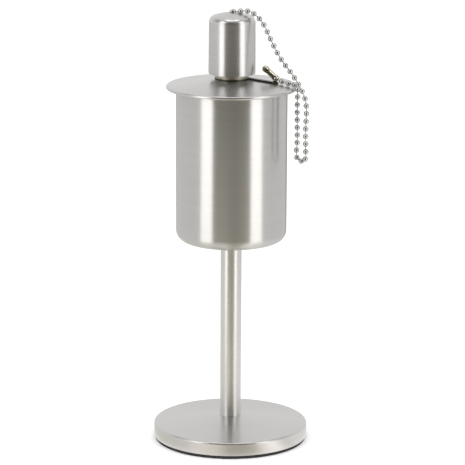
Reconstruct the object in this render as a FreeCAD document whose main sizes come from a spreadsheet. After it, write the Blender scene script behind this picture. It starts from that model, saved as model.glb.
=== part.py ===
import FreeCAD, Part, Sketcher

import math
import os
import re

# Table-top oil torch in brushed stainless steel, millimetres, +Z up.
# Origin: centre of the pad's underside. A weighted round base carries a thin stem and a deep oil
# tank; a shallow conical lid with the wick holder plugs into the tank, and a snuffer cap on a bead
# chain covers the wick.
doc = FreeCAD.newDocument("OilTorch")

# ---- driving dimensions -------------------------------------------------------------------
sizes = {
    "baseRadius": 47.5,
    "padThick": 2.2,
    "padInset": 0.8,        # the pad's side inside the base's
    "baseEdge": 8.1,        # height of the base's straight side
    "baseRise": 4.3,        # the base's top is a shallow cone, this much higher in the middle
    "seatRadius": 7.6,      # flat seat for the stem
    "baseWall": 0.8,
    "baseRound": 1.3,       # rounding of the base's upper edge
    "weightInset": 1.6,     # the weight's side inside the base's
    "weightGap": 0.2,
    "pocketDepth": 7.0,     # recess in the weight for the washer and the screw's head
    "screwPlay": 0.2,       # of a screw in its holes
    "headHeight": 4.2,
    "baseWasher": 1.6,
    "baseGrip": 14.0,       # how far the base's screw reaches into the stem
    "stemRadius": 6.5,
    "stemWall": 1.0,
    "stemLength": 111.8,
    "insertLength": 20.0,
    "screwRadius": 3.0,     # M6
    "tankRadius": 33.9,
    "tankWall": 0.7,
    "tankHeight": 96.35,
    "tankCorner": 6.5,
    "sealThick": 1.5,
    "tankWasher": 1.2,
    "tankGrip": 16.0,
    "lidRadius": 40.0,
    "lidWall": 0.7,
    "lidRise": 3.8,         # from the rim's top to the flat seat in the middle
    "lidSeatRadius": 11.5,
    "rimRadius": 1.0,       # half the thickness of the lid's rolled rim
    "lidLift": 0.15,        # the rim's top above the tank's mouth
    "rimWidth": 2.2,        # of the rolled rim
    "rimStep": 0.1,         # the plate's top above the rim's, where they meet
    "collarDepth": 13.0,
    "collarGap": 0.6,       # between the collar and the tank, filled by the seal ring
    "collarTop": 0.2,       # the collar's outer edge above the tank's mouth
    "collarSlope": 0.05,    # its inner edge is this much higher, under the cone
    "ringSqueeze": 0.1,
    "ringHeight": 3.0,
    "ringDrop": 6.0,
    "nutHeight": 4.0,
    "gasketThick": 1.2,
    "burnerRadius": 10.2,
    "burnerFlange": 2.7,
    "neckRadius": 8.0,      # threaded neck through the lid
    "neckLength": 9.0,
    "bossRadius": 7.3,
    "bossHeight": 3.0,
    "tubeRadius": 5.0,
    "tubeWall": 0.45,
    "tubeAbove": 9.8,       # wick tube above the burner's flange
    "tubeLength": 48.0,
    "wickRadius": 4.3,
    "wickAbove": 3.6,
    "wickLength": 104.0,
    "capRadius": 14.1,
    "capFlare": 0.2,
    "capWall": 0.7,
    "capHeight": 37.1,
    "capCrown": 2.9,        # rise of the domed top above the shoulder's corner
    "crownRadius": 36.0,
    "capShoulder": 4.2,
    "capGap": 0.2,          # cap's rim above the burner's flange
    "bushHeight": 6.0,
    "bushPlay": 0.2,
    "smallRound": 0.6,
    "smallBevel": 0.5,
    "wickRound": 1.2,
    "stopDepth": 2.6,       # the chain stop's flange lies from here
    "stopFlange": 1.3,      # to here below the cap's top
    "stopTop": 1.6,         # height of its ball above the cap's top
    "stopGap": 0.1,
    "beadRadius": 1.75,     # the chain's balls
    "lugThick": 0.8,
    "lugWidth": 3.0,
    "lugReach": 26.4,
    "lugTurn": -9.0,        # degrees about +Z
    "couplingLength": 12.8,
    "couplingWidth": 4.4,
    "couplingThick": 3.4,
    "armGap": 0.3,          # the arm's bend above the seat
    "armOverlap": 1.2,      # of the arm and the washer
    "fitGap": 0.05,
    "looseGap": 0.15,
}

sameRing = 0.01             # an edge this near to a named corner belongs to it

# ---- levels worked out from them ------------------------------------------------------------
sizes["edgeTop"] = sizes["padThick"] + sizes["baseEdge"]
sizes["seatTop"] = sizes["edgeTop"] + sizes["baseRise"]
sizes["stemTop"] = sizes["seatTop"] + sizes["stemLength"]
sizes["tankTop"] = sizes["stemTop"] + sizes["tankHeight"]
sizes["rimTop"] = sizes["tankTop"] + sizes["lidLift"]
sizes["lidSeat"] = sizes["rimTop"] + sizes["lidRise"]
sizes["lugTop"] = sizes["lidSeat"] + sizes["lugThick"]
sizes["flangeTop"] = sizes["lugTop"] + sizes["burnerFlange"]
sizes["capBottom"] = sizes["flangeTop"] + sizes["capGap"]
sizes["capTop"] = sizes["capBottom"] + sizes["capHeight"]
sizes["tubeTop"] = sizes["flangeTop"] + sizes["tubeAbove"]
sizes["wickTop"] = sizes["tubeTop"] + sizes["wickAbove"]

sheet = doc.addObject("Spreadsheet::Sheet", "dim")
for row, (alias, size) in enumerate(sizes.items(), start=1):
    sheet.set("A%d" % row, alias)
    sheet.set("B%d" % row, str(round(size, 4)))
    sheet.setAlias("B%d" % row, alias)
doc.recompute()

parts = {}


def bound(text):
    """The expression with its aliases named as cells of the sheet."""
    return re.sub(r"[a-z][A-Za-z]+", lambda word: "dim." + word[0], text)


def value(text):
    """The number that an expression on the sheet's aliases gives."""
    return float(sheet.evalExpression(bound(text)))


def keep(label, item):
    """Name a finished sub-part."""
    item.Label = label
    parts[label] = item
    return item


def bind(item, **expressions):
    """Bind properties of an object to expressions on the sheet."""
    for name, text in expressions.items():
        item.setExpression(name, bound(text))


def raiseTo(item, text):
    """Put an object at a height given by an expression."""
    item.setExpression("Placement.Base.z", bound(text))


# ---- turned and drawn pieces ----------------------------------------------------------------
def originPlane(body, role):
    return next(item for item in body.Origin.OriginFeatures if item.Role == role)


def outlineSketch(body, outline):
    """A closed outline on the body's XZ plane: every corner (radius, height[, arc radius to the
    next corner]) is held by two dimensions bound to the sheet."""
    sketch = body.newObject("Sketcher::SketchObject", "Outline")
    sketch.AttachmentSupport = [(originPlane(body, "XZ_Plane"), "")]
    sketch.MapMode = "FlatFace"
    corners = [FreeCAD.Vector(value(item[0]), value(item[1]), 0) for item in outline]
    count = len(outline)
    for index, item in enumerate(outline):
        start = corners[index]
        end = corners[(index + 1) % count]
        if len(item) == 3:
            sketch.addGeometry(crownArc(start, end, value(item[2])))
        else:
            sketch.addGeometry(Part.LineSegment(start, end))
    for index in range(count):
        sketch.addConstraint(Sketcher.Constraint("Coincident", index, 2, (index + 1) % count, 1))
    for index, item in enumerate(outline):
        for direction, text in (("DistanceX", item[0]), ("DistanceY", item[1])):
            amount = value(text)
            number = sketch.addConstraint(
                Sketcher.Constraint(direction, -1, 1, index, 1, amount))
            if amount > 0:
                sketch.setExpression("Constraints[%d]" % number, bound(text))
        if len(item) == 3:
            number = sketch.addConstraint(
                Sketcher.Constraint("Radius", index, value(item[2])))
            sketch.setExpression("Constraints[%d]" % number, bound(item[2]))
    return sketch


def crownArc(start, end, radius):
    """The arc of a given radius from start to end, bulging outwards and up, counterclockwise."""
    middle = (start + end) * 0.5
    along = end - start
    side = FreeCAD.Vector(-along.y, along.x, 0).normalize()
    centre = middle + side * math.sqrt(radius ** 2 - (along.Length / 2) ** 2)
    first = math.atan2(start.y - centre.y, start.x - centre.x)
    last = math.atan2(end.y - centre.y, end.x - centre.x)
    circle = Part.Circle(centre, FreeCAD.Vector(0, 0, 1), radius)
    return Part.ArcOfCircle(circle, first, last)


def ringEdges(shape, radius, height):
    """Names of the circular edges about the axis at one radius and height."""
    names = []
    for number, edge in enumerate(shape.Edges, start=1):
        curve = edge.Curve
        if not isinstance(curve, Part.Circle):
            continue
        if abs(curve.Radius - radius) < sameRing and abs(curve.Center.z - height) < sameRing:
            names.append("Edge%d" % number)
    return names


def turned(label, outline, rounds=(), bevels=()):
    """A body of revolution about +Z. rounds and bevels list (radius, height, size) corners."""
    body = doc.addObject("PartDesign::Body", label)
    sketch = outlineSketch(body, outline)
    tip = body.newObject("PartDesign::Revolution", "Turn")
    tip.Profile = sketch
    tip.ReferenceAxis = (sketch, ["V_Axis"])
    tip.Angle = 360
    doc.recompute()
    jobs = [("PartDesign::Fillet", "Radius", item) for item in rounds]
    jobs += [("PartDesign::Chamfer", "Size", item) for item in bevels]
    for kind, sizeName, (radius, height, size) in jobs:
        edges = ringEdges(tip.Shape, value(radius), value(height))
        finish = body.newObject(kind, sizeName)
        finish.Base = (tip, edges)
        finish.setExpression(sizeName, bound(size))
        doc.recompute()
        tip = finish
    body.Tip = tip
    return keep(label, body)


# ---- pieces from primitives -------------------------------------------------------------------
def cylinder(name, radius, height, bottom):
    item = doc.addObject("Part::Cylinder", name)
    bind(item, Radius=radius, Height=height)
    raiseTo(item, bottom)
    return item


def hexagon(name, circumradius, height, bottom):
    item = doc.addObject("Part::Prism", name)
    item.Polygon = 6
    bind(item, Circumradius=circumradius, Height=height)
    raiseTo(item, bottom)
    return item


def cut(label, base, tool):
    item = doc.addObject("Part::Cut", label)
    item.Base = base
    item.Tool = tool
    return item


def fuse(label, *items):
    item = doc.addObject("Part::MultiFuse", label)
    item.Shapes = list(items)
    return item


def ring(label, outer, inner, height, bottom):
    """A flat ring or short tube made from two cylinders."""
    whole = cylinder(label + "Disc", outer, height, bottom)
    hole = cylinder(label + "Hole", inner, height, bottom)
    return keep(label, cut(label, whole, hole))


# ---- base ---------------------------------------------------------------------------------------
def makeBase():
    turned("base_pad",
           [("0", "0"), ("baseRadius - padInset", "0"), ("baseRadius - padInset", "padThick"),
            ("0", "padThick")],
           rounds=[("baseRadius - padInset", "0", "padThick / 4")])
    turned("base_cover",
           [("screwRadius + screwPlay", "seatTop - baseWall"), ("seatRadius", "seatTop - baseWall"),
            ("baseRadius - baseWall", "edgeTop - baseWall"), ("baseRadius - baseWall", "padThick"),
            ("baseRadius", "padThick"), ("baseRadius", "edgeTop"), ("seatRadius", "seatTop"),
            ("screwRadius + screwPlay", "seatTop")],
           rounds=[("baseRadius", "edgeTop", "baseRound"),
                   ("baseRadius - baseWall", "edgeTop - baseWall", "smallRound")])
    bore = "screwRadius + weightGap + fitGap * 2"
    side = "baseRadius - weightInset"
    corner = "edgeTop - baseWall - weightGap * 2"
    top = "seatTop - baseWall - weightGap"
    turned("base_weight",
           [(bore, "padThick + pocketDepth"), ("seatRadius", "padThick + pocketDepth"),
            ("seatRadius", "padThick + fitGap"), (side, "padThick + fitGap"), (side, corner),
            ("seatRadius", top), (bore, top)],
           bevels=[(side, corner, "smallBevel")])
    headFace = "padThick + pocketDepth - baseWasher"
    ring("base_washer", "screwRadius * 2", "screwRadius + screwPlay", "baseWasher", headFace)
    screw("base_screw", headFace, "-headHeight", "seatTop + baseGrip")


def screw(label, headFace, headHeight, shankEnd):
    """A socket-head screw: its head stands from headFace by headHeight (negative is downwards)
    and its shank runs from headFace to shankEnd."""
    downwards = headHeight.startswith("-")
    size = headHeight.lstrip("-")
    headBottom = headFace + " - " + size if downwards else headFace
    length = "%s - (%s)" % (shankEnd, headFace) if downwards else "%s - (%s)" % (headFace, shankEnd)
    head = cylinder(label + "Head", "screwRadius * 5 / 3", size, headBottom)
    shank = cylinder(label + "Shank", "screwRadius", length, headFace if downwards else shankEnd)
    socketBottom = headBottom if downwards else "%s + %s / 2" % (headFace, size)
    socket = hexagon(label + "Socket", "screwRadius * 0.95", size + " / 2", socketBottom)
    return keep(label, cut(label, fuse(label + "Blank", head, shank), socket))


# ---- stem ---------------------------------------------------------------------------------------
def makeStem():
    turned("stem_tube",
           [("stemRadius - stemWall", "seatTop"), ("stemRadius", "seatTop"),
            ("stemRadius", "stemTop"), ("stemRadius - stemWall", "stemTop")])
    bore = "screwRadius + fitGap"
    body = "stemRadius - stemWall - fitGap"
    ring("stem_insert_lower", body, bore, "insertLength", "seatTop")
    ring("stem_insert_upper", body, bore, "insertLength", "stemTop - insertLength")


# ---- oil tank -------------------------------------------------------------------------------------
def makeTank():
    hole = "screwRadius + screwPlay"
    turned("tank_shell",
           [(hole, "stemTop"), ("tankRadius", "stemTop"), ("tankRadius", "tankTop"),
            ("tankRadius - tankWall", "tankTop"), ("tankRadius - tankWall", "stemTop + tankWall"),
            (hole, "stemTop + tankWall")],
           rounds=[("tankRadius", "stemTop", "tankCorner"),
                   ("tankRadius - tankWall", "stemTop + tankWall", "tankCorner - tankWall")])
    sealTop = "stemTop + tankWall + sealThick"
    ring("tank_seal", "screwRadius * 3", hole, "sealThick", "stemTop + tankWall")
    ring("tank_washer", "screwRadius * 3", hole, "tankWasher", sealTop)
    screw("tank_screw", sealTop + " + tankWasher", "headHeight", "stemTop - tankGrip")


# ---- lid ------------------------------------------------------------------------------------------
def makeLid():
    hole = "neckRadius + looseGap"
    rimMid = "rimTop - rimRadius"
    inside = "lidRadius - rimWidth"
    turned("lid_plate",
           [(hole, "lidSeat - lidWall"), ("lidSeatRadius", "lidSeat - lidWall"),
            (inside, "rimTop + rimStep - lidWall"), (inside, rimMid + " - rimRadius"),
            ("lidRadius", rimMid + " - rimRadius"), ("lidRadius", "rimTop"),
            ("lidSeatRadius", "lidSeat"), (hole, "lidSeat")],
           rounds=[("lidRadius", rimMid + " - rimRadius", "rimRadius * 0.9"),
                   ("lidRadius", "rimTop", "rimRadius * 0.9")])
    outer = "tankRadius - tankWall - collarGap"
    wall = "lidWall"
    turned("lid_collar",
           [(outer + " - " + wall, "tankTop - collarDepth"), (outer, "tankTop - collarDepth"),
            (outer, "tankTop + collarTop"),
            (outer + " - " + wall, "tankTop + collarTop + collarSlope")])
    ring("lid_seal", "tankRadius - tankWall - ringSqueeze", outer + " + fitGap", "ringHeight",
         "tankTop - ringDrop")
    gasketBottom = "lidSeat - lidWall - gasketThick"
    nutBottom = gasketBottom + " - nutHeight"
    hexNut = hexagon("burner_nutHex", "neckRadius * 1.55", "nutHeight", nutBottom)
    bore = cylinder("burner_nutBore", "neckRadius + fitGap", "nutHeight", nutBottom)
    keep("burner_nut", cut("burner_nut", hexNut, bore))
    ring("burner_gasket", "neckRadius * 1.4", hole, "gasketThick", gasketBottom)


# ---- wick holder ------------------------------------------------------------------------------------
def makeBurner():
    bore = "tubeRadius + fitGap"
    turned("wick_holder",
           [(bore, "lugTop - neckLength"), ("neckRadius", "lugTop - neckLength"),
            ("neckRadius", "lugTop"), ("burnerRadius", "lugTop"), ("burnerRadius", "flangeTop"),
            ("bossRadius", "flangeTop"), ("bossRadius", "flangeTop + bossHeight"),
            (bore, "flangeTop + bossHeight")],
           rounds=[("burnerRadius", "flangeTop", "smallRound"),
                   ("burnerRadius", "lugTop", "smallBevel")],
           bevels=[("bossRadius", "flangeTop + bossHeight", "smallRound"),
                   ("neckRadius", "lugTop - neckLength", "smallBevel")])
    ring("wick_tube", "tubeRadius", "tubeRadius - tubeWall", "tubeLength", "tubeTop - tubeLength")
    turned("wick",
           [("0", "wickTop - wickLength"), ("wickRadius", "wickTop - wickLength"),
            ("wickRadius", "wickTop"), ("0", "wickTop")],
           rounds=[("wickRadius", "wickTop", "wickRound")])


# ---- snuffer cap ---------------------------------------------------------------------------------------
def makeCap():
    shoulder = "capTop - capCrown"
    turned("cap_shell",
           [("beadRadius * 0.8", "capTop"), ("beadRadius * 0.8", "capTop - capWall"),
            ("capRadius - capWall", shoulder + " - capWall"),
            ("capRadius + capFlare - capWall", "capBottom"),
            ("capRadius + capFlare", "capBottom"), ("capRadius", shoulder, "crownRadius")],
           rounds=[("capRadius", shoulder, "capShoulder"),
                   ("capRadius - capWall", shoulder + " - capWall", "capShoulder - capWall")])
    ring("cap_bush", "capRadius - capWall - fitGap", "bossRadius + bushPlay", "bushHeight",
         "capBottom - capGap + fitGap")
    flangeTop = "capTop - stopFlange"
    ballTop = "capTop + stopTop"
    turned("chain_stop",
           [("0", "capTop - stopDepth"), ("beadRadius * 2", "capTop - stopDepth"),
            ("beadRadius * 2", flangeTop), ("beadRadius * 0.7", flangeTop),
            ("beadRadius * 0.7", "capTop + stopGap"), ("beadRadius", "capTop + stopGap"),
            ("beadRadius", ballTop), ("0", ballTop)],
           rounds=[("beadRadius", ballTop, "beadRadius * 0.6")])


# ---- bead chain ------------------------------------------------------------------------------------------
# From the cap's top down past the lid's rim, round a tight loop beside the tank, back up over the
# rim and along the lid to the coupling. The stretch up to capRun's middle goes with the cap.
chainRoute = [
    (0.6, -0.2, 269.3), (5.8, -1.8, 270.3), (12.8, -5.2, 269.2), (18.6, -8.4, 262.8),
    (23.8, -11.4, 251.8), (30.2, -14.8, 240.5), (37.2, -18.6, 232.4), (42.0, -21.0, 223.0),
    (45.2, -21.9, 213.6), (44.6, -21.5, 199.5), (44.4, -21.7, 188.0), (43.9, -21.4, 179.4),
    (39.7, -15.2, 179.2), (39.7, -14.9, 187.6), (39.4, -15.2, 202.0), (39.6, -15.3, 216.6),
    (39.9, -15.9, 227.0), (36.0, -11.0, 228.4), (31.2, -6.2, 227.0), (27.0, -2.2, 227.4),
]
capRun = 7


cornerShare = 0.45      # of the shorter run, used by the arc at a corner
couplingFoot = (26.6, -1.9, 227.6)
couplingLean = (-6.8, 0.5, 6.2)


def cordPath(points):
    """Edges of the route: straight runs joined by tangent arcs as large as the runs allow.
    Returns one list of edges per run, each with the arc that follows it, and the radii."""
    spots = [FreeCAD.Vector(*point) for point in points]
    runs = []
    radii = []
    start = spots[0]
    for before, corner, after in zip(spots, spots[1:], spots[2:]):
        back = (before - corner).normalize()
        ahead = (after - corner).normalize()
        halfTurn = (math.pi - back.getAngle(ahead)) / 2
        reach = cornerShare * min((corner - before).Length, (after - corner).Length)
        radius = reach / math.tan(halfTurn)
        first = corner + back * reach
        last = corner + ahead * reach
        bisector = (back + ahead).normalize()
        centre = corner + bisector * (radius / math.cos(halfTurn))
        middle = centre - bisector * radius
        runs.append([Part.LineSegment(start, first).toShape(),
                     Part.Arc(first, middle, last).toShape()])
        radii.append(radius)
        start = last
    runs.append([Part.LineSegment(start, spots[-1]).toShape()])
    return runs, radii


def cordTube(label, edges):
    """A plain tube of the chain's outer diameter along joined edges."""
    radius = value("beadRadius")
    path = Part.Wire(edges)
    startEdge = edges[0]
    origin = startEdge.valueAt(startEdge.FirstParameter)
    direction = startEdge.tangentAt(startEdge.FirstParameter)
    section = Part.Wire(Part.Circle(origin, direction, radius).toShape())
    shape = path.makePipeShell([section], True, False)
    expected = math.pi * radius ** 2 * path.Length
    print("%s: length %.1f mm, volume %.1f of %.1f" % (label, path.Length, shape.Volume, expected))
    item = doc.addObject("Part::Feature", label)
    item.Shape = shape
    item.Placement = FreeCAD.Placement()
    return keep(label, item)


def makeChain():
    runs, radii = cordPath(chainRoute)
    print("chain radii:", " ".join("%.1f" % radius for radius in radii))
    line = runs[capRun][0]
    begin = line.valueAt(line.FirstParameter)
    end = line.valueAt(line.LastParameter)
    middle = (begin + end) * 0.5
    upper = [edge for run in runs[:capRun] for edge in run]
    upper.append(Part.LineSegment(begin, middle).toShape())
    lower = [Part.LineSegment(middle, end).toShape()] + runs[capRun][1:]
    lower += [edge for run in runs[capRun + 1:] for edge in run]
    cordTube("chain_upper", upper)
    cordTube("chain_lower", lower)


def makeCoupling():
    """A folded-strip coupling: two round cups joined by a slotted waist, leaning up from the
    chain's last ball towards the cap."""
    radius = "couplingWidth / 2"
    span = "couplingLength - couplingWidth"
    cups = []
    for name, offset in (("Lower", "0"), ("Upper", span)):
        cup = cylinder("coupling" + name, radius, "couplingThick", "-couplingThick / 2")
        cup.setExpression("Placement.Base.x", bound(offset))
        cups.append(cup)
    waist = doc.addObject("Part::Box", "couplingWaist")
    bind(waist, Length=span, Width="couplingWidth * 0.86", Height="couplingThick")
    waist.setExpression("Placement.Base.y", bound("-couplingWidth * 0.43"))
    waist.setExpression("Placement.Base.z", bound("-couplingThick / 2"))
    window = doc.addObject("Part::Box", "couplingWindow")
    bind(window, Length="couplingLength * 0.36", Width="couplingWidth * 0.4",
         Height="couplingThick * 2")
    window.setExpression("Placement.Base.x", bound("couplingLength * 0.15"))
    window.setExpression("Placement.Base.y", bound("-couplingWidth * 0.2"))
    window.setExpression("Placement.Base.z", bound("-couplingThick"))
    item = cut("chain_coupling", fuse("couplingBlank", cups[0], waist, cups[1]), window)
    foot = FreeCAD.Vector(*couplingFoot)
    lean = FreeCAD.Rotation(FreeCAD.Vector(1, 0, 0), FreeCAD.Vector(*couplingLean))
    item.Placement = FreeCAD.Placement(foot, lean * FreeCAD.Rotation(FreeCAD.Vector(1, 0, 0), 90))
    return keep("chain_coupling", item)


def makeLug():
    """A thin washer held under the wick holder's flange, with an arm that runs down the lid's
    cone to an eye below the coupling."""
    washer = cylinder("lugWasher", "burnerRadius + armGap", "lugThick", "0")
    slope = math.degrees(math.atan2(value("lidRise"), value("lidRadius - lidSeatRadius")))
    tilt = FreeCAD.Rotation(FreeCAD.Vector(0, 1, 0), slope)
    bend = FreeCAD.Vector(value("lidSeatRadius - armOverlap"), 0, value("armGap"))
    arm = doc.addObject("Part::Box", "lugArm")
    length = "lugReach - lidSeatRadius + armOverlap"
    bind(arm, Length=length, Width="lugWidth", Height="lugThick")
    arm.Placement = FreeCAD.Placement(bend - FreeCAD.Vector(0, value("lugWidth / 2"), 0), tilt)
    eye = doc.addObject("Part::Cylinder", "lugEye")
    bind(eye, Radius="lugWidth * 0.75", Height="lugThick")
    tip = bend + tilt.multVec(FreeCAD.Vector(value(length), 0, 0))
    eye.Placement = FreeCAD.Placement(tip, tilt)
    hole = cylinder("lugHole", "neckRadius + looseGap", "lugThick * 2", "-lugThick / 2")
    item = cut("chain_lug", fuse("lugBlank", washer, arm, eye), hole)
    item.Placement = FreeCAD.Placement(
        FreeCAD.Vector(0, 0, value("lidSeat")),
        FreeCAD.Rotation(FreeCAD.Vector(0, 0, 1), value("lugTurn")))
    return keep("chain_lug", item)


# ---- build, check and write --------------------------------------------------------------------------
def checkAndWrite():
    doc.recompute()
    for item in doc.Objects:
        if "Invalid" in item.State or "Error" in item.State:
            raise RuntimeError("%s failed: %s" % (item.Label, item.State))
    for label, item in parts.items():
        if item.Shape.isNull() or not item.Shape.isValid() or not item.Shape.Solids:
            raise RuntimeError("%s has no valid solid" % label)
    os.makedirs("parts", exist_ok=True)
    for label, item in parts.items():
        item.Shape.exportStep("parts/%s.step" % label)
        print("%-18s %8.0f mm3" % (label, item.Shape.Volume))


makeBase()
makeStem()
makeTank()
makeLid()
makeBurner()
makeCap()
makeChain()
makeCoupling()
makeLug()
checkAndWrite()
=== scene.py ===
import math

import bmesh
import bpy
import numpy as np
from mathutils import Matrix, Vector


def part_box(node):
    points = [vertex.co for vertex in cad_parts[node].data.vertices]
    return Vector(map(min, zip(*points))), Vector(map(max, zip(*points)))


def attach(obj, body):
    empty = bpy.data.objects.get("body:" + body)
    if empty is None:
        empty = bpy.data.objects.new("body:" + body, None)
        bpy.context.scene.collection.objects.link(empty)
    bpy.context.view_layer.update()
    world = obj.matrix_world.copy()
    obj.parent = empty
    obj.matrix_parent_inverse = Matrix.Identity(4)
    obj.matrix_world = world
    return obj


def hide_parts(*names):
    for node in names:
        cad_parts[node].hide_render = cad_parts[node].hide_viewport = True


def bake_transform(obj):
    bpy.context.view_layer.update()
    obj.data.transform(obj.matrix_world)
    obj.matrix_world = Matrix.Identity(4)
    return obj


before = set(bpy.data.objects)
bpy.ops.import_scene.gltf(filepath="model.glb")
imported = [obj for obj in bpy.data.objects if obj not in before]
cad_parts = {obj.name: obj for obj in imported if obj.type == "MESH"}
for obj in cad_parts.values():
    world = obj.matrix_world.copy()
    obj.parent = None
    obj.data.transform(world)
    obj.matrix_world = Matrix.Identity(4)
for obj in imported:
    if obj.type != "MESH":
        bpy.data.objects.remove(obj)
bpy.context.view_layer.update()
mm = 0.001


class Wire:
    # a node's output socket that takes part in Python arithmetic, adding Math nodes as it goes
    def __init__(self, paint, socket):
        self.paint = paint
        self.socket = socket

    def __add__(self, other):
        return self.paint.sums("ADD", self, other)

    def __radd__(self, other):
        return self.paint.sums("ADD", other, self)

    def __sub__(self, other):
        return self.paint.sums("SUBTRACT", self, other)

    def __rsub__(self, other):
        return self.paint.sums("SUBTRACT", other, self)

    def __mul__(self, other):
        return self.paint.sums("MULTIPLY", self, other)

    def __rmul__(self, other):
        return self.paint.sums("MULTIPLY", other, self)

    def __truediv__(self, other):
        return self.paint.sums("DIVIDE", self, other)

    def __rtruediv__(self, other):
        return self.paint.sums("DIVIDE", other, self)

    def __pow__(self, other):
        return self.paint.sums("POWER", self, other)

    def __rpow__(self, other):
        return self.paint.sums("POWER", other, self)


class Paint:
    # one material and the nodes in it
    def __init__(self, name):
        self.material = bpy.data.materials.new(name)
        self.material.use_nodes = True
        self.tree = self.material.node_tree
        self.tree.nodes.clear()

    def node(self, kind, settings=None, inputs=None, output=0):
        # the settings are made first; stops are a ramp's (place, colour) rows
        made = self.tree.nodes.new("ShaderNode" + kind)
        for name, setting in (settings or {}).items():
            if name == "stops":
                ramp = made.color_ramp
                while len(ramp.elements) < len(setting):
                    ramp.elements.new(0.5)
                for element, (place, colour) in zip(ramp.elements, setting):
                    element.position = place
                    element.color = (*colour, 1)
            else:
                setattr(made, name, setting)
        for name, given in (inputs or {}).items():
            if isinstance(given, Wire):
                self.tree.links.new(given.socket, made.inputs[name])
            else:
                made.inputs[name].default_value = given
        return Wire(self, made.outputs[output])

    def sums(self, operation, first, second):
        return self.node("Math", {"operation": operation}, {0: first, 1: second})

    def place(self):
        # the point on the piece, in metres
        return self.node("TexCoord", output="Object")

    def split(self, vector):
        made = self.node("SeparateXYZ", inputs={0: vector}).socket.node
        return [Wire(self, socket) for socket in made.outputs]

    def join(self, x, y, z):
        return self.node("CombineXYZ", inputs={0: x, 1: y, 2: z})

    def mix(self, share, first, second, blend="MIX"):
        # share 0 gives the first colour, 1 the second
        settings = {"data_type": "RGBA", "blend_type": blend}
        return self.node("Mix", settings, {0: share, 6: first, 7: second}, 2)

    def noise(self, vector, scale=1.0, detail=2.0, w=None):
        settings = {"noise_dimensions": "3D" if w is None else "4D"}
        inputs = {"Vector": vector, "Scale": scale, "Detail": detail}
        if w is not None:
            inputs["W"] = w
        return self.node("TexNoise", settings, inputs)

    def cells(self, vector, scale, output=0):
        # the distance to the middle of a cell, or with output 1 a colour for each cell
        return self.node("TexVoronoi", {"feature": "F1"}, {"Vector": vector, "Scale": scale},
                         output)

    def bump(self, height, distance, strength=1.0):
        return self.node("Bump", inputs={"Height": height, "Distance": distance,
                                         "Strength": strength})

    def surface(self, **sockets):
        inputs = {name.replace("_", " "): given for name, given in sockets.items()}
        self.finish(self.node("BsdfPrincipled", inputs=inputs))
        return self.material

    def finish(self, shader):
        out = self.tree.nodes.new("ShaderNodeOutputMaterial")
        self.tree.links.new(shader.socket, out.inputs["Surface"])


def makeMesh(name, points, faces, material):
    mesh = bpy.data.meshes.new(name)
    mesh.from_pydata(points.tolist(), [], faces)
    mesh.polygons.foreach_set("use_smooth", [True] * len(mesh.polygons))
    mesh.update()
    mesh.materials.append(material)
    item = bpy.data.objects.new(name, mesh)
    bpy.context.collection.objects.link(item)
    return item


def joinParts(parts):
    # (points, faces) pairs as one set of points and faces, each part's corners counted on from
    # the points before it
    starts = np.cumsum([0] + [len(points) for points, _ in parts[:-1]])
    points = np.concatenate([points for points, _ in parts])
    faces = np.concatenate([faces + start for (_, faces), start in zip(parts, starts)])
    return points, faces.tolist()


def gridFaces(rows, columns, closedColumns=False):
    # quads of a grid of points stored row by row: each joins its point to the next across, the
    # one below that and the one straight below
    down = np.arange(rows - 1)[:, None]
    across = np.arange(columns if closedColumns else columns - 1)[None, :]
    nextAcross = (across + 1) % columns
    corners = [down * columns + across, down * columns + nextAcross,
               (down + 1) * columns + nextAcross, (down + 1) * columns + across]
    return np.stack([np.broadcast_to(corner, (down.size, across.size)).ravel()
                     for corner in corners], 1)


def axesAlong(direction, helper=None):
    # the unit direction and two square to it and to each other, from cross products with
    # helper, or without one with whichever of X and Y lies well away from the direction
    direction = direction / np.linalg.norm(direction, axis=-1, keepdims=True)
    if helper is None:
        helper = np.array([1.0, 0, 0] if abs(direction[0]) < 0.8 else [0, 1.0, 0])
    first = np.cross(helper, direction)
    first /= np.linalg.norm(first, axis=-1, keepdims=True)
    return direction, first, np.cross(direction, first)


def turnedPart(profile, origin, direction, segments):
    # (height, radius) rows turned round an axis: origin + height along it + radius times the
    # cosine and sine of the turn
    direction, first, second = axesAlong(direction)
    angle = np.linspace(0, 2 * np.pi, segments, endpoint=False)
    outward = np.cos(angle)[:, None] * first + np.sin(angle)[:, None] * second
    points = origin + profile[:, None, :1] * direction + profile[:, None, 1:] * outward
    return points.reshape(-1, 3), gridFaces(len(profile), segments, closedColumns=True)


def tubePart(path, radius, segments):
    # a round wire: path + radius times the cosine and sine of the turn, square to the path;
    # from one point to the next the section turns as little as it can
    along = np.gradient(path, axis=0)
    along /= np.linalg.norm(along, axis=1, keepdims=True)
    first = np.empty_like(along)
    first[0] = axesAlong(along[0])[1]
    for index in range(1, len(path)):
        turned = first[index - 1] - along[index] * (first[index - 1] @ along[index])
        first[index] = turned / np.linalg.norm(turned)
    second = np.cross(along, first)
    angle = np.linspace(0, 2 * np.pi, segments, endpoint=False)[None, :, None]
    points = path[:, None] + radius * (np.cos(angle) * first[:, None]
                                       + np.sin(angle) * second[:, None])
    return points.reshape(-1, 3), gridFaces(len(path), segments, closedColumns=True)


def fixNormals(item):
    shape = bmesh.new()
    shape.from_mesh(item.data)
    bmesh.ops.recalc_face_normals(shape, faces=shape.faces)
    shape.to_mesh(item.data)
    shape.free()


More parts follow.
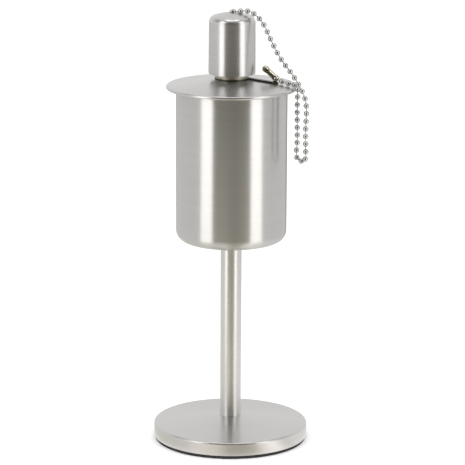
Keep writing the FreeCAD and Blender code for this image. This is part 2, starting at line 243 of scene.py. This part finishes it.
ballChain = {
    "ball": 1.75 * mm, "eye": 0.62 * mm, "seam": 0.03 * mm, "pitch": 4.6 * mm,
    "wire": 0.36 * mm, "wireSides": 10, "lineSteps": 24,
    "sample": 0.4 * mm,  # on either side of a ball, for the chain's direction there
    "lip": ((0.45 * mm, 0.62), (0.1 * mm, 0.8)),  # depth in the ball, share of the eye's radius
    "rows": 19, "segments": 28,
    "length": 0.182, "diameter": 3.5 * mm,
    "low": 0.232, "high": 0.268,  # heights between which the chain passes from lid to cap
    "farEnd": 4.0}  # in metres
chainRoute = [
    (0.0006, 0.0, 0.2680), (0.0068, -0.0016, 0.2687), (0.0118, -0.0050, 0.2690),
    (0.0187, -0.0085, 0.2629), (0.0237, -0.0110, 0.2516), (0.0299, -0.0143, 0.2403),
    (0.0366, -0.0190, 0.2329), (0.0423, -0.0212, 0.2234), (0.0452, -0.0216, 0.2152),
    (0.0444, -0.0218, 0.1995), (0.0446, -0.0219, 0.1896), (0.0449, -0.0225, 0.1796),
    (0.0387, -0.0144, 0.1802), (0.0398, -0.0151, 0.1900), (0.0395, -0.0153, 0.2031),
    (0.0395, -0.0148, 0.2162), (0.0399, -0.0139, 0.2236), (0.0380, -0.0096, 0.2254),
    (0.0314, -0.0052, 0.2256), (0.0266, -0.0020, 0.2274)]


def routeLine(route):
    # the smooth line that has the route's points as its control points
    curve = bpy.data.curves.new("routeCurve", "CURVE")
    curve.dimensions = "3D"
    curve.resolution_u = ballChain["lineSteps"]
    spline = curve.splines.new("NURBS")
    spline.points.add(len(route) - 1)
    spline.points.foreach_set("co", [value for point in route for value in (*point, 1.0)])
    spline.order_u = 3
    spline.use_endpoint_u = True
    holder = bpy.data.objects.new("routeCurve", curve)
    mesh = bpy.data.meshes.new_from_object(holder)
    line = np.empty(len(mesh.vertices) * 3)
    mesh.vertices.foreach_get("co", line)
    bpy.data.objects.remove(holder)
    bpy.data.curves.remove(curve)
    bpy.data.meshes.remove(mesh)
    return line.reshape(-1, 3)


def pointsAlong(line, spots):
    # the points that lie the given lengths along a line, between its own points
    lengths = np.concatenate([[0], np.cumsum(np.linalg.norm(np.diff(line, axis=0), axis=1))])
    return np.stack([np.interp(spots, lengths, line[:, axis]) for axis in range(3)], 1)


def ballPart(centre, direction):
    # a hollow ball rolled from strip: a circle's arc from eye to eye, with a turned-in lip at
    # each eye and a faint seam round the middle, turned round the chain's line
    radius = ballChain["ball"]
    eye = ballChain["eye"]
    lean = np.arcsin(eye / radius)
    angle = np.linspace(lean, np.pi - lean, ballChain["rows"])
    arc = np.column_stack([-np.cos(angle), np.sin(angle)]) * radius
    arc[ballChain["rows"] // 2, 1] -= ballChain["seam"]
    front = [(arc[0, 0] + depth, eye * share) for depth, share in ballChain["lip"]]
    back = [(-height, width) for height, width in reversed(front)]
    return turnedPart(np.concatenate([front, arc, back]), centre, direction,
                      ballChain["segments"])


def makeChain(material):
    line = routeLine(chainRoute)
    length = np.linalg.norm(np.diff(line, axis=0), axis=1).sum()
    count = round(length / ballChain["pitch"]) + 1
    spots = np.linspace(0, length, count)
    centres = pointsAlong(line, spots)
    step = ballChain["sample"]
    directions = pointsAlong(line, spots + step) - pointsAlong(line, spots - step)
    low, high = ballChain["low"], ballChain["high"]
    rise = np.clip((centres[:, 2] - low) / (high - low), 0, 1)
    upper = spots < length / 2
    moving = np.flatnonzero(upper & (rise > 0) & (rise < 1)).tolist()
    onCap = np.flatnonzero(upper & (rise >= 1)).tolist()
    still = np.flatnonzero(~upper | (rise <= 0)).tolist()
    parts = [tubePart(line, ballChain["wire"], ballChain["wireSides"])]
    parts += [ballPart(centres[index], directions[index]) for index in still]
    chain = makeMesh("ballChain", *joinParts(parts), material)
    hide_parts("chain_upper", "chain_lower")
    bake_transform(chain)
    parts = [ballPart(centres[index], directions[index]) for index in onCap]
    top = makeMesh("ballsOnCap", *joinParts(parts), material)
    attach(top, "cap")
    pieces = [top]
    for index in moving:
        # each ball between lid and cap is made as a mesh of its own
        part = ballPart(centres[index], directions[index])
        ball = makeMesh("ball%02d" % index, *joinParts([part]), material)
        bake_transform(ball)
        pieces.append(ball)
    print("chain", round(length * 1000, 1), "mm,", count, "balls,", len(pieces), "pieces")
    return chain, pieces, line


coupling = {
    "foot": (0.0266, -0.0019, 0.2276), "lean": (-6.8, 0.5, 6.2), "face": (-0.3, -1.0, 0.0),
    "cup": 2.2 * mm, "waist": 1.85 * mm, "waistPower": 4, "span": 8.4 * mm,
    "eye": 1.0 * mm, "thick": 0.3 * mm, "slit": 0.24,  # the slit is half an angle, in radians
    "openings": ((0.85, 0.8, 1.0 * mm), (0.8, 0.12, 1.0 * mm)),  # angle, share of span, length
    "rows": 61, "columns": 33}


def makeCoupling(material):
    # strip rolled into an open channel: its radius along the span is that of a ball at either
    # end and of the waist between, joined by a power mean, and the slit along its face widens
    # like a bell curve to a mouth at the free cup and to a throat beside the last ball
    direction, otherSide, face = axesAlong(np.array(coupling["lean"]), np.array(coupling["face"]))
    side = -otherSide
    span = coupling["span"]
    past = np.sqrt(coupling["cup"] ** 2 - coupling["eye"] ** 2)
    along = np.linspace(-past, span + past, coupling["rows"])
    nearest = np.minimum(np.abs(along), np.abs(along - span))
    cup = np.sqrt(np.maximum(coupling["cup"] ** 2 - nearest ** 2, 0))
    power = coupling["waistPower"]
    joined = (cup ** (2 * power) + coupling["waist"] ** (2 * power)) ** (0.5 / power)
    between = (along > 0) & (along < span)
    outer = np.minimum(np.where(between, joined, cup), coupling["cup"])
    slit = np.full_like(along, coupling["slit"])
    for angle, spot, length in coupling["openings"]:
        slit += (angle - coupling["slit"]) * np.exp(-((along - spot * span) / length) ** 2)
    columns = coupling["columns"]
    walls = []
    for radius, order in ((outer, 1), (outer - coupling["thick"], -1)):
        share = np.linspace(0, 1, columns)[::order]
        angle = slit[:, None] + share * (2 * np.pi - 2 * slit[:, None])
        walls.append(radius[:, None, None] * (np.cos(angle)[..., None] * face
                                              + np.sin(angle)[..., None] * side))
    points = (np.array(coupling["foot"]) + along[:, None, None] * direction
              + np.concatenate(walls, 1))
    ringSize = 2 * columns
    faces = gridFaces(coupling["rows"], ringSize, closedColumns=True)
    steps = np.arange(columns - 1)
    firstEnd = np.stack([steps, ringSize - 1 - steps, ringSize - 2 - steps, steps + 1], 1)
    lastEnd = firstEnd[:, ::-1] + (coupling["rows"] - 1) * ringSize
    faces = np.concatenate([faces, firstEnd, lastEnd]).tolist()
    item = makeMesh("coupling", points.reshape(-1, 3), faces, material)
    fixNormals(item)
    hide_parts("chain_coupling")
    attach(item, "lid")
    return item


braid = {
    "strands": 8, "turns": 20, "depth": 0.55 * mm, "fullness": 0.6,  # lower is fuller
    "crown": 1.2 * mm, "crownShare": 0.75, "endTone": 0.6, "rows": 520, "columns": 112}


def makeWick(material):
    # two sets of strands that wind opposite ways: the radius swells with the sine across
    # whichever strand lies on top, and draws in over the crown at each end
    low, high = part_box("wick")
    rows, columns, strands = braid["rows"], braid["columns"], braid["strands"]
    radius = (high[0] - low[0]) / 2
    length = high[2] - low[2]
    middle = (high[0] + low[0]) / 2, (high[1] + low[1]) / 2
    angle = np.linspace(0, 2 * np.pi, columns, endpoint=False)[None, :]
    share = np.linspace(0, 1, rows)[:, None]
    twist = share * 2 * np.pi * braid["turns"] / strands
    leftHand = np.abs(np.sin((angle + twist) * strands / 2))
    rightHand = np.abs(np.sin((angle - twist) * strands / 2))
    leftOnTop = np.sin(angle * strands) * np.sin(twist * strands) > 0
    bulge = np.where(leftOnTop, leftHand, rightHand) ** braid["fullness"]
    crown = np.minimum(np.minimum(share, 1 - share) * length / braid["crown"], 1)
    width = radius - braid["depth"] * (1 - bulge)
    width = width * np.sqrt(1 - (1 - crown) ** 2 * braid["crownShare"])
    points = np.stack([middle[0] + width * np.cos(angle), middle[1] + width * np.sin(angle),
                       low[2] + share * length + 0 * angle], 2).reshape(-1, 3)
    points = np.concatenate([points, [[*middle, low[2]], [*middle, high[2]]]])
    steps = np.arange(columns)
    after = (steps + 1) % columns
    topRow = (rows - 1) * columns
    bottomPole = np.full(columns, rows * columns)
    bottom = np.stack([after, steps, bottomPole], 1)
    top = np.stack([topRow + steps, topRow + after, bottomPole + 1], 1)
    faces = gridFaces(rows, columns, closedColumns=True).tolist()
    item = makeMesh("wickBraid", points, faces + bottom.tolist() + top.tolist(), material)
    # the crest also masks the yarn's painted shade in the hollows; the two end points take
    # endTone
    crest = item.data.attributes.new("crest", "FLOAT", "POINT")
    crest.data.foreach_set("value", np.append(bulge.ravel(), [braid["endTone"]] * 2))
    fixNormals(item)
    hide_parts("wick")
    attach(item, "wick")
    return item


def grey(level, warm=0.0):
    # warm raises red and lowers blue by its share
    return (level * (1 + warm), level, level * (1 - warm), 1)


wallLook = {
    "dark": 0.54, "light": 0.72, "roughness": 0.315, "roughSpread": 0.10, "anisotropic": 0.92,
    "lines": ((5200, 26, 3), (900, 14, 2), (240, 18, 2)),  # across, around, detail
    "shares": (0.64, 0.3, 0.06), "warmth": (0.025, 0.012), "smudge": 0.05, "smudgeScale": 28,
    "quarterTurn": 0.25, "relief": 0.004 * mm}
stemLook = {**wallLook, "dark": 0.62, "light": 0.82, "roughness": 0.35, "anisotropic": 0.62}
capLook = {**wallLook, "roughness": 0.31, "anisotropic": 0.6}
plateLook = {**wallLook, "dark": 0.57, "light": 0.69, "roughness": 0.302, "anisotropic": 0.55,
             "roughSpread": 0.06, "smudge": 0.03, "shares": (0.64, 0.34, 0.02)}


def brushed(name, look):
    # fine lines that run round the axis: noise that changes fast with radius and height and
    # slowly along the circle, on roughness, tone and a very low bump
    paint = Paint(name)
    x, y, z = paint.split(paint.place())
    radius = (x * x + y * y) ** 0.5
    fine, middle, broad = [
        paint.noise(paint.join(radius * across, z * across, x * around), detail=detail,
                    w=y * around) for across, around, detail in look["lines"]]
    first, second, third = look["shares"]
    grain = fine * first + middle * second + broad * third
    smudge = paint.noise(paint.place(), look["smudgeScale"], 3)
    return paint.surface(
        Base_Color=paint.mix(grain, grey(look["dark"], look["warmth"][0]),
                             grey(look["light"], look["warmth"][1])),
        Metallic=1.0,
        Roughness=(grain - 0.5) * look["roughSpread"] + (smudge - 0.5) * look["smudge"]
        + look["roughness"],
        Anisotropic=look["anisotropic"], Anisotropic_Rotation=look["quarterTurn"],
        Normal=paint.bump(fine, look["relief"]))


pressedLook = {
    "lines": 2600, "skin": 1800, "stainScale": 90, "dark": grey(0.52, 0.02),
    "light": grey(0.68, 0.01), "tint": grey(0.44, 0.03), "tintShare": 0.35, "lineShare": 0.75,
    "roughness": 0.26, "spread": 0.16, "stainSpread": 0.1, "relief": 0.006 * mm}
nickelLook = {
    **pressedLook, "lines": 1500, "skin": 2400, "stainScale": 240,
    "dark": (0.48, 0.48, 0.47, 1), "light": (0.78, 0.78, 0.77, 1), "tint": (0.34, 0.34, 0.33, 1),
    "lineShare": 0.1, "roughness": 0.05, "spread": 0.08, "relief": 0.003 * mm}
claspLook = {
    **nickelLook, "dark": (0.62, 0.58, 0.45, 1), "light": (0.88, 0.85, 0.74, 1),
    "tint": (0.42, 0.38, 0.26, 1), "roughness": 0.2}
# the flange's warm turned-metal tone, darkened as painted shade where it lies under the cap
flangeShadeLook = {
    **pressedLook, "dark": (0.44, 0.41, 0.33, 1), "light": (0.58, 0.55, 0.46, 1),
    "tint": (0.36, 0.33, 0.25, 1), "roughness": 0.44}
# the chain lug's near-black tone is painted shade, standing in for the shadow in the gap beneath
# it
lugShadeLook = {
    **pressedLook, "dark": (0.085, 0.075, 0.063, 1), "light": (0.16, 0.145, 0.125, 1),
    "tint": (0.06, 0.052, 0.043, 1), "roughness": 0.34}
brassLook = {
    **pressedLook, "lines": 3000, "skin": 1500, "stainScale": 130,
    "dark": (0.62, 0.42, 0.16, 1), "light": (0.78, 0.58, 0.26, 1), "tint": (0.40, 0.25, 0.10, 1),
    "lineShare": 0.7, "roughness": 0.3, "spread": 0.18, "relief": 0.008 * mm}


def turnedMetal(name, look):
    # smooth metal: fine tool lines that change with radius and height, a mottled skin and
    # small stains that shift the tone towards a tint
    paint = Paint(name)
    x, y, z = paint.split(paint.place())
    radius = (x * x + y * y) ** 0.5
    lines = paint.noise(paint.join(radius * look["lines"], z * look["lines"], 0.0), detail=2)
    skin = paint.noise(paint.place(), look["skin"], 4)
    stain = paint.noise(paint.place(), look["stainScale"], 3)
    tone = paint.mix(stain, look["dark"], look["light"])
    height = lines * look["lineShare"] + skin * (1 - look["lineShare"])
    return paint.surface(
        Base_Color=paint.mix(skin * look["tintShare"], tone, look["tint"]), Metallic=1.0,
        Roughness=look["roughness"] + (skin - 0.5) * look["spread"]
        + (stain - 0.5) * look["stainSpread"],
        Normal=paint.bump(height, look["relief"]))


zincLook = {
    "patches": 900, "patchShare": 0.16, "grain": 2600, "dark": (0.50, 0.52, 0.54, 1),
    "light": (0.66, 0.66, 0.63, 1), "roughness": 0.3, "spread": 0.22, "relief": 0.01 * mm}


def zincPlate(name, look):
    # plated steel: small crystal patches multiplied over a tone that follows a fine grain
    paint = Paint(name)
    patch = paint.cells(paint.place(), look["patches"], output=1)
    grain = paint.noise(paint.place(), look["grain"], 3)
    tone = paint.mix(grain, look["dark"], look["light"])
    return paint.surface(
        Base_Color=paint.mix(look["patchShare"], tone, patch, "MULTIPLY"), Metallic=1.0,
        Roughness=grain * look["spread"] + look["roughness"],
        Normal=paint.bump(grain, look["relief"]))


ironLook = {
    "coarse": 700, "fine": 4200, "fineShare": 0.3, "rustScale": 120, "rustFrom": 0.56,
    "rustTo": 0.7, "rustShare": 0.5, "dark": (0.035, 0.034, 0.034, 1),
    "light": (0.085, 0.082, 0.08, 1), "rust": (0.13, 0.055, 0.03, 1), "metallic": 0.45,
    "roughness": 0.55, "spread": 0.25, "relief": 0.18 * mm}


def castIron(name, look):
    # sand-cast skin: coarse and fine noise in the bump, and rust where a broad noise is high
    paint = Paint(name)
    coarse = paint.noise(paint.place(), look["coarse"], 5)
    fine = paint.noise(paint.place(), look["fine"], 3)
    rust = paint.node("MapRange", {"interpolation_type": "SMOOTHSTEP"},
                      {0: paint.noise(paint.place(), look["rustScale"], 4),
                       1: look["rustFrom"], 2: look["rustTo"]})
    tone = paint.mix(coarse, look["dark"], look["light"])
    height = coarse * (1 - look["fineShare"]) + fine * look["fineShare"]
    return paint.surface(
        Base_Color=paint.mix(rust * look["rustShare"], tone, look["rust"]),
        Metallic=look["metallic"], Roughness=coarse * look["spread"] + look["roughness"],
        Normal=paint.bump(height, look["relief"]))


foamLook = {
    "cells": 1900, "driftScale": 90, "driftShare": 0.3, "wall": (0.028, 0.027, 0.026, 1),
    "hollow": (0.012, 0.012, 0.012, 1), "dust": (0.05, 0.048, 0.045, 1), "specular": 0.3,
    "roughness": 0.82, "spread": 0.12, "relief": 0.12 * mm, "strength": 0.8}


def foam(name, look):
    # closed-cell foam: a fine field of small cells under a drift of dust
    paint = Paint(name)
    cells = paint.cells(paint.place(), look["cells"])
    drift = paint.noise(paint.place(), look["driftScale"], 3)
    tone = paint.mix(cells, look["wall"], look["hollow"])
    return paint.surface(
        Base_Color=paint.mix(drift * look["driftShare"], tone, look["dust"]),
        Roughness=drift * look["spread"] + look["roughness"],
        Specular_IOR_Level=look["specular"],
        Normal=paint.bump(cells, look["relief"], look["strength"]))


rubberLook = {
    "bloom": 160, "fine": 3800, "dark": (0.018, 0.018, 0.019, 1),
    "light": (0.05, 0.049, 0.048, 1), "roughness": 0.5, "spread": 0.2, "relief": 0.02 * mm}


def rubber(name, look):
    # moulded rubber: a broad pale bloom and a fine grain
    paint = Paint(name)
    bloom = paint.noise(paint.place(), look["bloom"], 4)
    fine = paint.noise(paint.place(), look["fine"], 2)
    return paint.surface(
        Base_Color=paint.mix(bloom, look["dark"], look["light"]),
        Roughness=bloom * look["spread"] + look["roughness"],
        Normal=paint.bump(fine, look["relief"]))


yarnLook = {
    "aroundScale": 60, "alongScale": 9000, "soilScale": 260, "soiled": (0.44, 0.41, 0.34, 1),
    "clean": (0.56, 0.54, 0.47, 1), "thread": (0.28, 0.25, 0.19, 1), "threadShare": 0.5,
    # hollow is a painted shade colour for the hollows between strands, and the power after it
    # sets how fast it fades
    "hollow": (0.13, 0.115, 0.085, 1), "hollowShadePower": 1.5, "sheen": 0.2,
    "roughness": 0.75, "spread": 0.2, "relief": 0.06 * mm}


def glassFibre(name, look):
    # pale yarn: filaments on the slant across each strand, and painted shade in the hollows
    # between strands, from the braid's crest attribute
    paint = Paint(name)
    x, y, z = paint.split(paint.place())
    around = paint.node("Math", {"operation": "ARCTAN2"}, {0: y, 1: x}) * look["aroundScale"]
    along = z * look["alongScale"]
    filament = paint.noise(paint.join(around + along, around - along, 0.0), 1, 3)
    soil = paint.noise(paint.place(), look["soilScale"], 3)
    crest = paint.node("Attribute", {"attribute_name": "crest"}, output=2)
    tone = paint.mix(soil, look["soiled"], look["clean"])
    tone = paint.mix(filament * look["threadShare"], tone, look["thread"])
    # where the crest is low, between strands, the tone goes to the painted shade colour
    return paint.surface(
        Base_Color=paint.mix(crest ** look["hollowShadePower"], look["hollow"], tone),
        Roughness=filament * look["spread"] + look["roughness"], Sheen_Weight=look["sheen"],
        Normal=paint.bump(filament, look["relief"]))


def finishNodes():
    # each CAD node takes the finish of its own name, or else of its record slot
    finishes = {
        "brushed_steel": brushed("brushedSteel", wallLook),
        "polished_steel": turnedMetal("pressedSteel", pressedLook),
        "nickel_chain": turnedMetal("nickelPlate", nickelLook),
        "zinc_plate": zincPlate("zincPlate", zincLook),
        "brass": turnedMetal("turnedBrass", brassLook),
        "cast_iron": castIron("castIron", ironLook),
        "foam_pad": foam("foamPad", foamLook),
        "seal_rubber": rubber("sealRubber", rubberLook),
        "wick_fabric": glassFibre("glassFibre", yarnLook),
        "clasp": turnedMetal("claspPlate", claspLook)}
    plate = brushed("brushedPlate", plateLook)
    special = {
        "stem_tube": brushed("brushedStem", stemLook),
        "cap_shell": brushed("brushedCap", capLook),
        "lid_plate": plate,
        "base_cover": plate,
        # the flange's and the chain lug's tones hold painted shade
        "wick_holder": turnedMetal("turnedFlangeShaded", flangeShadeLook),
        "chain_lug": turnedMetal("lugPaintedShade", lugShadeLook)}
    for name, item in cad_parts.items():
        for slot in item.material_slots:
            key = slot.material.name.split(".")[0] if slot.material else "brushed_steel"
            slot.material = special.get(name, finishes.get(key, finishes["brushed_steel"]))
    return finishes


view = {"distance": 1.6704, "height": 0.5329, "side": -0.0002, "pitch": 13.533, "turn": -0.034,
        "roll": 0.27, "lens": 216.4, "sensor": 36, "nearest": 0.1, "farthest": 50}


def makeCamera():
    data = bpy.data.cameras.new("camera")
    data.lens = view["lens"]
    data.sensor_width = view["sensor"]
    data.clip_start = view["nearest"]
    data.clip_end = view["farthest"]
    camera = bpy.data.objects.new("camera", data)
    bpy.context.collection.objects.link(camera)
    place = Matrix.Translation((view["side"], -view["distance"], view["height"]))
    turn = Matrix.Rotation(math.radians(view["turn"]), 4, "Z")
    tilt = Matrix.Rotation(math.radians(90 - view["pitch"]), 4, "X")
    roll = Matrix.Rotation(math.radians(view["roll"]), 4, "Z")
    camera.matrix_world = place @ turn @ tilt @ roll
    bpy.context.scene.camera = camera


table = {"tone": 0.9, "reach": 12.0, "grain": 900, "roughness": 0.85, "spread": 0.05}


def makeTable():
    paint = Paint("paleTable")
    grain = paint.noise(paint.place(), table["grain"], 3)
    paint.surface(Base_Color=grey(table["tone"]),
                  Roughness=grain * table["spread"] + table["roughness"])
    corners = np.array([[-1, -1, 0], [1, -1, 0], [1, 1, 0], [-1, 1, 0]]) * table["reach"]
    makeMesh("table", corners, [[0, 1, 2, 3]], paint.material)


studio = {
    "worldTone": 1.32, "radius": 1.35, "bottom": 0.04, "top": 1.5, "radiance": 2.6,
    "boxes": {"Left": (-52, 0.62), "Right": (52.5, 0.60)},  # azimuth in degrees, width
    "toneReach": 1.5, "cardPoints": 61}

# cards that only reflections see; edges are degrees from the front, right positive, rings are
# (radius, height), and tones are (distance from the axis, colour)
sideTones = [(0.18, (0.84, 0.84, 0.83)), (0.6, (0.70, 0.70, 0.69)), (1.5, (0.62, 0.62, 0.61))]
brightTone = [(0, (3.5, 3.5, 3.5))]
duskTone = [(0, (0.30, 0.29, 0.28))]
tableRings = [(0.25, 0.001), (2.6, 0.001)]
barRings = [(0.84, 1.92), (0.42, 2.0)]
duskRings = [(2.4, 1.1), (2.4, 2.9)]
cards = {
    "Front": {"edges": (-39, 39), "rings": [(0.25, 0.001), (1.5, 0.001), (1.5, 0.34)],
              "tones": [(0.255, (0.56, 0.53, 0.45)), (0.51, (0.38, 0.37, 0.32)),
                        (0.9, (0.17, 0.159, 0.132))]},
    "Shade": {"edges": (-39, 39), "rings": [(1.5, 0.34), (1.5, 1.5)],
              "tones": [(0, (0.05, 0.048, 0.043))]},
    "Gap": {"edges": (-82, 82), "rings": [(1.35, 1.5), (0.84, 1.92)],
            "tones": [(0, (0.09, 0.087, 0.08))]},
    "Ceiling": {"edges": (-82, 82), "rings": [(0.42, 2.0), (0.02, 2.2)],
                "tones": [(0, (0.48, 0.48, 0.47))]},
    "TableRight": {"edges": (39, 152), "rings": tableRings, "tones": sideTones},
    "TableBehind": {"edges": (152, 200), "rings": tableRings,
                    "tones": [(0.255, (0.66, 0.66, 0.65)), (0.45, (0.40, 0.395, 0.38)),
                              (0.9, (0.26, 0.255, 0.24))]},
    "TableLeft": {"edges": (200, 321), "rings": tableRings, "tones": sideTones},
    "BarLeft": {"edges": (-75, -8), "rings": barRings, "tones": brightTone},
    "BarRight": {"edges": (8, 75), "rings": barRings, "tones": brightTone},
    "DuskLeft": {"edges": (-112, -76), "rings": duskRings, "tones": duskTone},
    "DuskRight": {"edges": (76, 112), "rings": duskRings, "tones": duskTone},
    "Back": {"edges": (39, 321), "rings": [(2.6, 0.0), (2.6, 3.4), (1.2, 4.6), (0.02, 4.7)],
             "tones": [(0, (0.86, 0.86, 0.855))]}}
# one of each of these stands at either softbox, as wide as it is
boxCards = {
    "Box": {"rings": [(1.35, 0.04), (1.35, 1.1)], "tones": [(0, (1.52, 1.52, 1.52))]},
    "Hood": {"rings": [(1.35, 1.1), (1.35, 1.5)], "tones": brightTone},
    "Sheen": {"rings": [(0.26, 0.002), (1.3, 0.002)],
              "tones": [(0.25, (1.4, 1.35, 1.2)), (0.5, (2.1, 2.07, 1.98)),
                        (1.0, (2.6, 2.6, 2.6))]}}
# the table beside the base: degrees from the front, level, and how far blue falls below red
nearCard = {
    "rings": [(0.052, 0.001), (0.25, 0.001)],
    "levels": ((-46, 0.80, 0.08), (-28, 1.02, 0.1), (-13, 1.0, 0.16), (-1, 0.63, 0.2),
               (12, 0.58, 0.2), (23, 0.68, 0.18), (33, 1.1, 0.12), (44, 1.5, 0.08),
               (57, 0.84, 0.06), (70, 1.0, 0.04), (100, 0.9, 0.03))}


def glow(name, tones, turning=False):
    # a card's own light: one tone, or tones that run outward from the object's axis, or with
    # turning ones that run round it, from -180 to 180 degrees as 0 to 1
    paint = Paint(name)
    tone = (*tones[0][1], 1)
    if len(tones) > 1:
        x, y, z = paint.split(paint.place())
        if turning:
            angle = paint.node("Math", {"operation": "ARCTAN2"}, {0: x, 1: 0 - y})
            spot = angle / math.tau + 0.5
        else:
            spot = (x * x + y * y) ** 0.5 / studio["toneReach"]
            tones = [(reach / studio["toneReach"], colour) for reach, colour in tones]
        tone = paint.node("ValToRGB", {"stops": tones}, {0: spot})
    paint.finish(paint.node("Emission", inputs={"Color": tone, "Strength": 1.0}))
    return paint.material


def makeCard(name, edges, rings, material):
    # a card bent round the object: each ring's points are its radius times the sine and
    # cosine of the azimuth, at its height
    count = studio["cardPoints"]
    angle = np.radians(np.linspace(*edges, count))
    radius, height = np.array(rings)[:, :, None].transpose(1, 0, 2)
    points = np.stack([radius * np.sin(angle), -radius * np.cos(angle), height + 0 * angle], 2)
    item = makeMesh("card" + name, points.reshape(-1, 3), gridFaces(len(rings), count).tolist(),
                    material)
    item.visible_camera = False
    item.visible_diffuse = False
    item.visible_transmission = False
    item.visible_shadow = False
    item.visible_volume_scatter = False


def makeSoftbox(side, azimuth, width):
    # an area light that faces the axis; reflections see the cards in its place
    light = bpy.data.lights.new("softbox" + side, "AREA")
    light.shape = "RECTANGLE"
    light.size = width
    light.size_y = studio["top"] - studio["bottom"]
    light.energy = studio["radiance"] * math.pi * light.size * light.size_y
    item = bpy.data.objects.new("softbox" + side, light)
    angle = math.radians(azimuth)
    item.location = (studio["radius"] * math.sin(angle), -studio["radius"] * math.cos(angle),
                     (studio["top"] + studio["bottom"]) / 2)
    toward = Vector((-item.location.x, -item.location.y, 0))
    item.rotation_euler = toward.to_track_quat("-Z", "Y").to_euler()
    item.visible_camera = False
    item.visible_glossy = False
    bpy.context.collection.objects.link(item)


def makeLights():
    world = bpy.data.worlds.new("studio")
    world.use_nodes = True
    world.node_tree.nodes["Background"].inputs[0].default_value = grey(studio["worldTone"])
    bpy.context.scene.world = world
    for name, card in cards.items():
        makeCard(name, card["edges"], card["rings"], glow("glow" + name, card["tones"]))
    for side, (azimuth, width) in studio["boxes"].items():
        makeSoftbox(side, azimuth, width)
        half = math.degrees(math.atan(width / 2 / studio["radius"]))
        for name, card in boxCards.items():
            makeCard(name + side, (azimuth - half, azimuth + half), card["rings"],
                     glow("glow" + name + side, card["tones"]))
    tones = [(0.5 + degrees / 360, (level, level * (1 - warm / 4), level * (1 - warm)))
             for degrees, level, warm in nearCard["levels"]]
    makeCard("Near", (0, 360), nearCard["rings"], glow("glowNear", tones, turning=True))


makeCamera()
makeTable()
makeLights()
bpy.context.scene.view_settings.view_transform = "Standard"
print("stage and camera ready")
finishes = finishNodes()
print("materials on", len(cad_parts), "nodes")
chain, balls, chainLine = makeChain(finishes["nickel_chain"])
clasp = makeCoupling(finishes["clasp"])
makeWick(finishes["wick_fabric"])
print("coupling and wick made")
